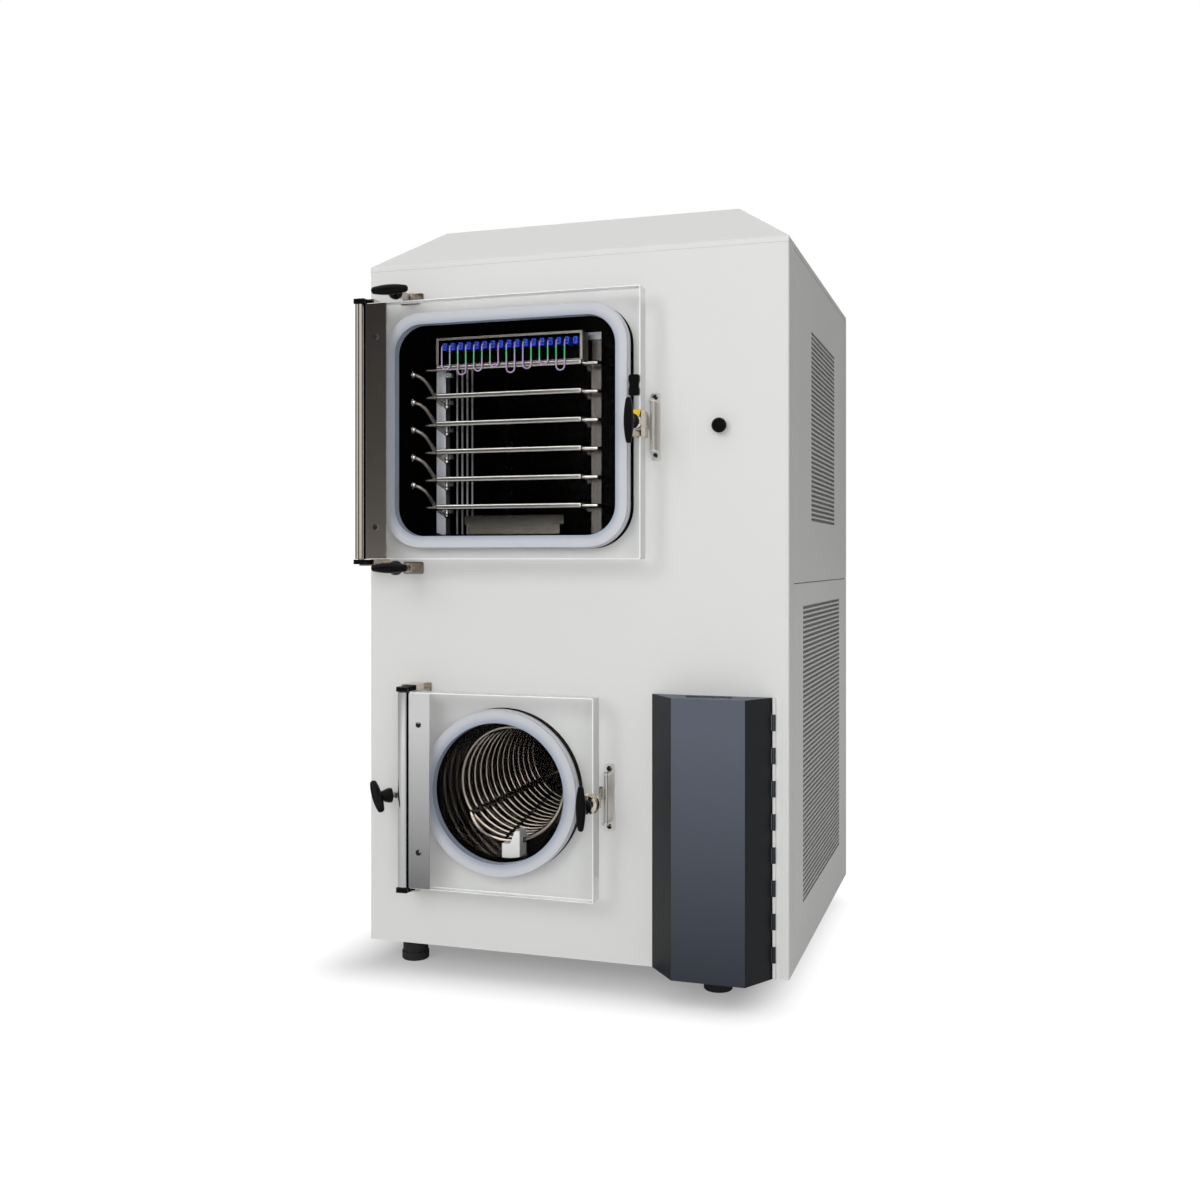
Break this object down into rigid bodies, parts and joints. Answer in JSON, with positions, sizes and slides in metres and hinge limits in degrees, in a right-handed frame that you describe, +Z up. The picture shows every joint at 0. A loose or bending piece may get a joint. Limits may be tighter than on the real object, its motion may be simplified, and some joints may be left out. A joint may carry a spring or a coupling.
{
  "type": "floor-standing laboratory freeze dryer",
  "caption": "Floor-standing freeze dryer: heated shelves behind a clear hinged door, a coil in a round cold trap behind a second door, and a pump bay with a hinged cover.",
  "frame": {"origin": "centre of the footprint's bounding box, on the floor under the feet", "axes": "+X to the right as seen by the user, +Y from the doors to the back, +Z up"},
  "size_m": [0.836, 0.991, 1.471],
  "materials": {
    "cabinet_paint": "fine powder coat",
    "frame_metal": "satin",
    "stainless": "brushed",
    "polished_stainless": "polished",
    "silicone": "translucent, satin",
    "clear_acrylic": "polished",
    "black_plastic": "satin",
    "blue_plastic": "satin",
    "lead_jacket": "satin",
    "white_plastic": "satin",
    "yellow_plastic": "satin",
    "bracket_steel": "brushed",
    "cover_paint": "textured",
    "foot_rubber": "matte",
    "bay_paint": "satin",
    "pump_paint": "satin",
    "compressor_paint": "gloss",
    "fin_aluminium": "plain"
  },
  "bodies": {
    "cabinet": {"front_panel": "cabinet_paint", "hood": "cabinet_paint", "upper_side_panels": "cabinet_paint", "lower_side_panels": "cabinet_paint", "rear_panel": "cabinet_paint", "cabinet_frame": "frame_metal", "feet": "foot_rubber", "product_chamber": "stainless", "product_seal": "silicone", "shelf_rack": "stainless", "shelves": "stainless", "fluid_tubes": "polished_stainless", "shelf_hoses": "polished_stainless", "sensor_panel": "stainless", "sensor_sockets": "blue_plastic", "sensor_leads": "lead_jacket", "drip_tray": "stainless", "condenser_chamber": "stainless", "condenser_seal": "silicone", "condenser_coil": "polished_stainless", "coil_spacer": "white_plastic", "coil_probe": "black_plastic", "vapor_duct": "stainless", "hinge_brackets": "bracket_steel", "hinge_blocks": "black_plastic", "hinge_pins": "stainless", "strikes": "stainless", "pivot_pins": "stainless", "panel_screws": "polished_stainless", "clamp_brackets": "bracket_steel", "cover_hinge": "stainless", "pump_bay": "bay_paint", "vacuum_pump": "pump_paint", "compressors": "compressor_paint", "air_condenser": "fin_aluminium", "rear_fittings": "stainless"},
    "product_door": {"product_door": "clear_acrylic", "product_door_leaf": "stainless", "product_door_screws": "polished_stainless", "product_latch_keeper": "yellow_plastic", "door_magnet": "black_plastic"},
    "product_latch": {"product_latch_handle": "black_plastic", "product_latch_spindle": "stainless"},
    "condenser_door": {"condenser_door": "clear_acrylic", "condenser_door_leaf": "stainless", "condenser_door_screws": "polished_stainless", "condenser_latch_washer": "stainless"},
    "condenser_latch": {"condenser_latch_handle": "black_plastic", "condenser_latch_spindle": "stainless"},
    "top_clamp": {"top_clamp_bolt": "bracket_steel"},
    "top_knob": {"top_clamp_knob": "black_plastic"},
    "bottom_clamp": {"bottom_clamp_bolt": "bracket_steel"},
    "bottom_knob": {"bottom_clamp_knob": "black_plastic"},
    "side_clamp": {"side_clamp_bolt": "bracket_steel"},
    "side_knob": {"side_clamp_knob": "black_plastic"},
    "push_button": {"push_button": "black_plastic"},
    "pump_cover": {"pump_cover": "cover_paint"},
    "fan": {"fan_rotor": "black_plastic"}
  },
  "joints": [
    {"name": "product_door_hinge", "type": "hinge", "parent": "cabinet", "child": "product_door", "pos_m": [-0.403, -0.4245, 1.051], "axis": [0, 0, -1], "range_deg": [0, 105]},
    {"name": "product_latch_turn", "type": "hinge", "parent": "product_door", "child": "product_latch", "pos_m": [0.156, -0.4335, 1.048], "axis": [0, 1, 0], "range_deg": [0, 90]},
    {"name": "condenser_door_hinge", "type": "hinge", "parent": "cabinet", "child": "condenser_door", "pos_m": [-0.312, -0.4245, 0.361], "axis": [0, 0, -1], "range_deg": [0, 85]},
    {"name": "condenser_latch_turn", "type": "hinge", "parent": "condenser_door", "child": "condenser_latch", "pos_m": [0.067, -0.4335, 0.358], "axis": [0, 1, 0], "range_deg": [0, 90]},
    {"name": "top_clamp_swing", "type": "hinge", "parent": "cabinet", "child": "top_clamp", "pos_m": [-0.323, -0.3785, 1.3135], "axis": [-1, 0, 0], "range_deg": [0, 70]},
    {"name": "top_knob_turn", "type": "hinge", "parent": "top_clamp", "child": "top_knob", "pos_m": [-0.323, -0.4385, 1.3135], "axis": [0, 1, 0], "continuous": true},
    {"name": "bottom_clamp_swing", "type": "hinge", "parent": "cabinet", "child": "bottom_clamp", "pos_m": [-0.323, -0.3785, 0.7865], "axis": [1, 0, 0], "range_deg": [0, 70]},
    {"name": "bottom_knob_turn", "type": "hinge", "parent": "bottom_clamp", "child": "bottom_knob", "pos_m": [-0.323, -0.4385, 0.7865], "axis": [0, 1, 0], "continuous": true},
    {"name": "side_clamp_swing", "type": "hinge", "parent": "cabinet", "child": "side_clamp", "pos_m": [-0.302, -0.3785, 0.348], "axis": [0, 0, -1], "range_deg": [0, 25]},
    {"name": "side_knob_turn", "type": "hinge", "parent": "side_clamp", "child": "side_knob", "pos_m": [-0.34516, -0.42018, 0.348], "axis": [0.7193, 0.6947, 0], "continuous": true},
    {"name": "button_press", "type": "slide", "parent": "cabinet", "child": "push_button", "axis": [0, 1, 0], "range_m": [0, 0.004], "stiffness_N_per_m": 400},
    {"name": "pump_cover_hinge", "type": "hinge", "parent": "cabinet", "child": "pump_cover", "pos_m": [0.3915, -0.3629, 0.301], "axis": [0, 0, 1], "range_deg": [0, 100]},
    {"name": "fan_spin", "type": "hinge", "parent": "cabinet", "child": "fan", "pos_m": [-0.043, 0.3155, 0.6], "axis": [0, 1, 0], "continuous": true}
  ]
}
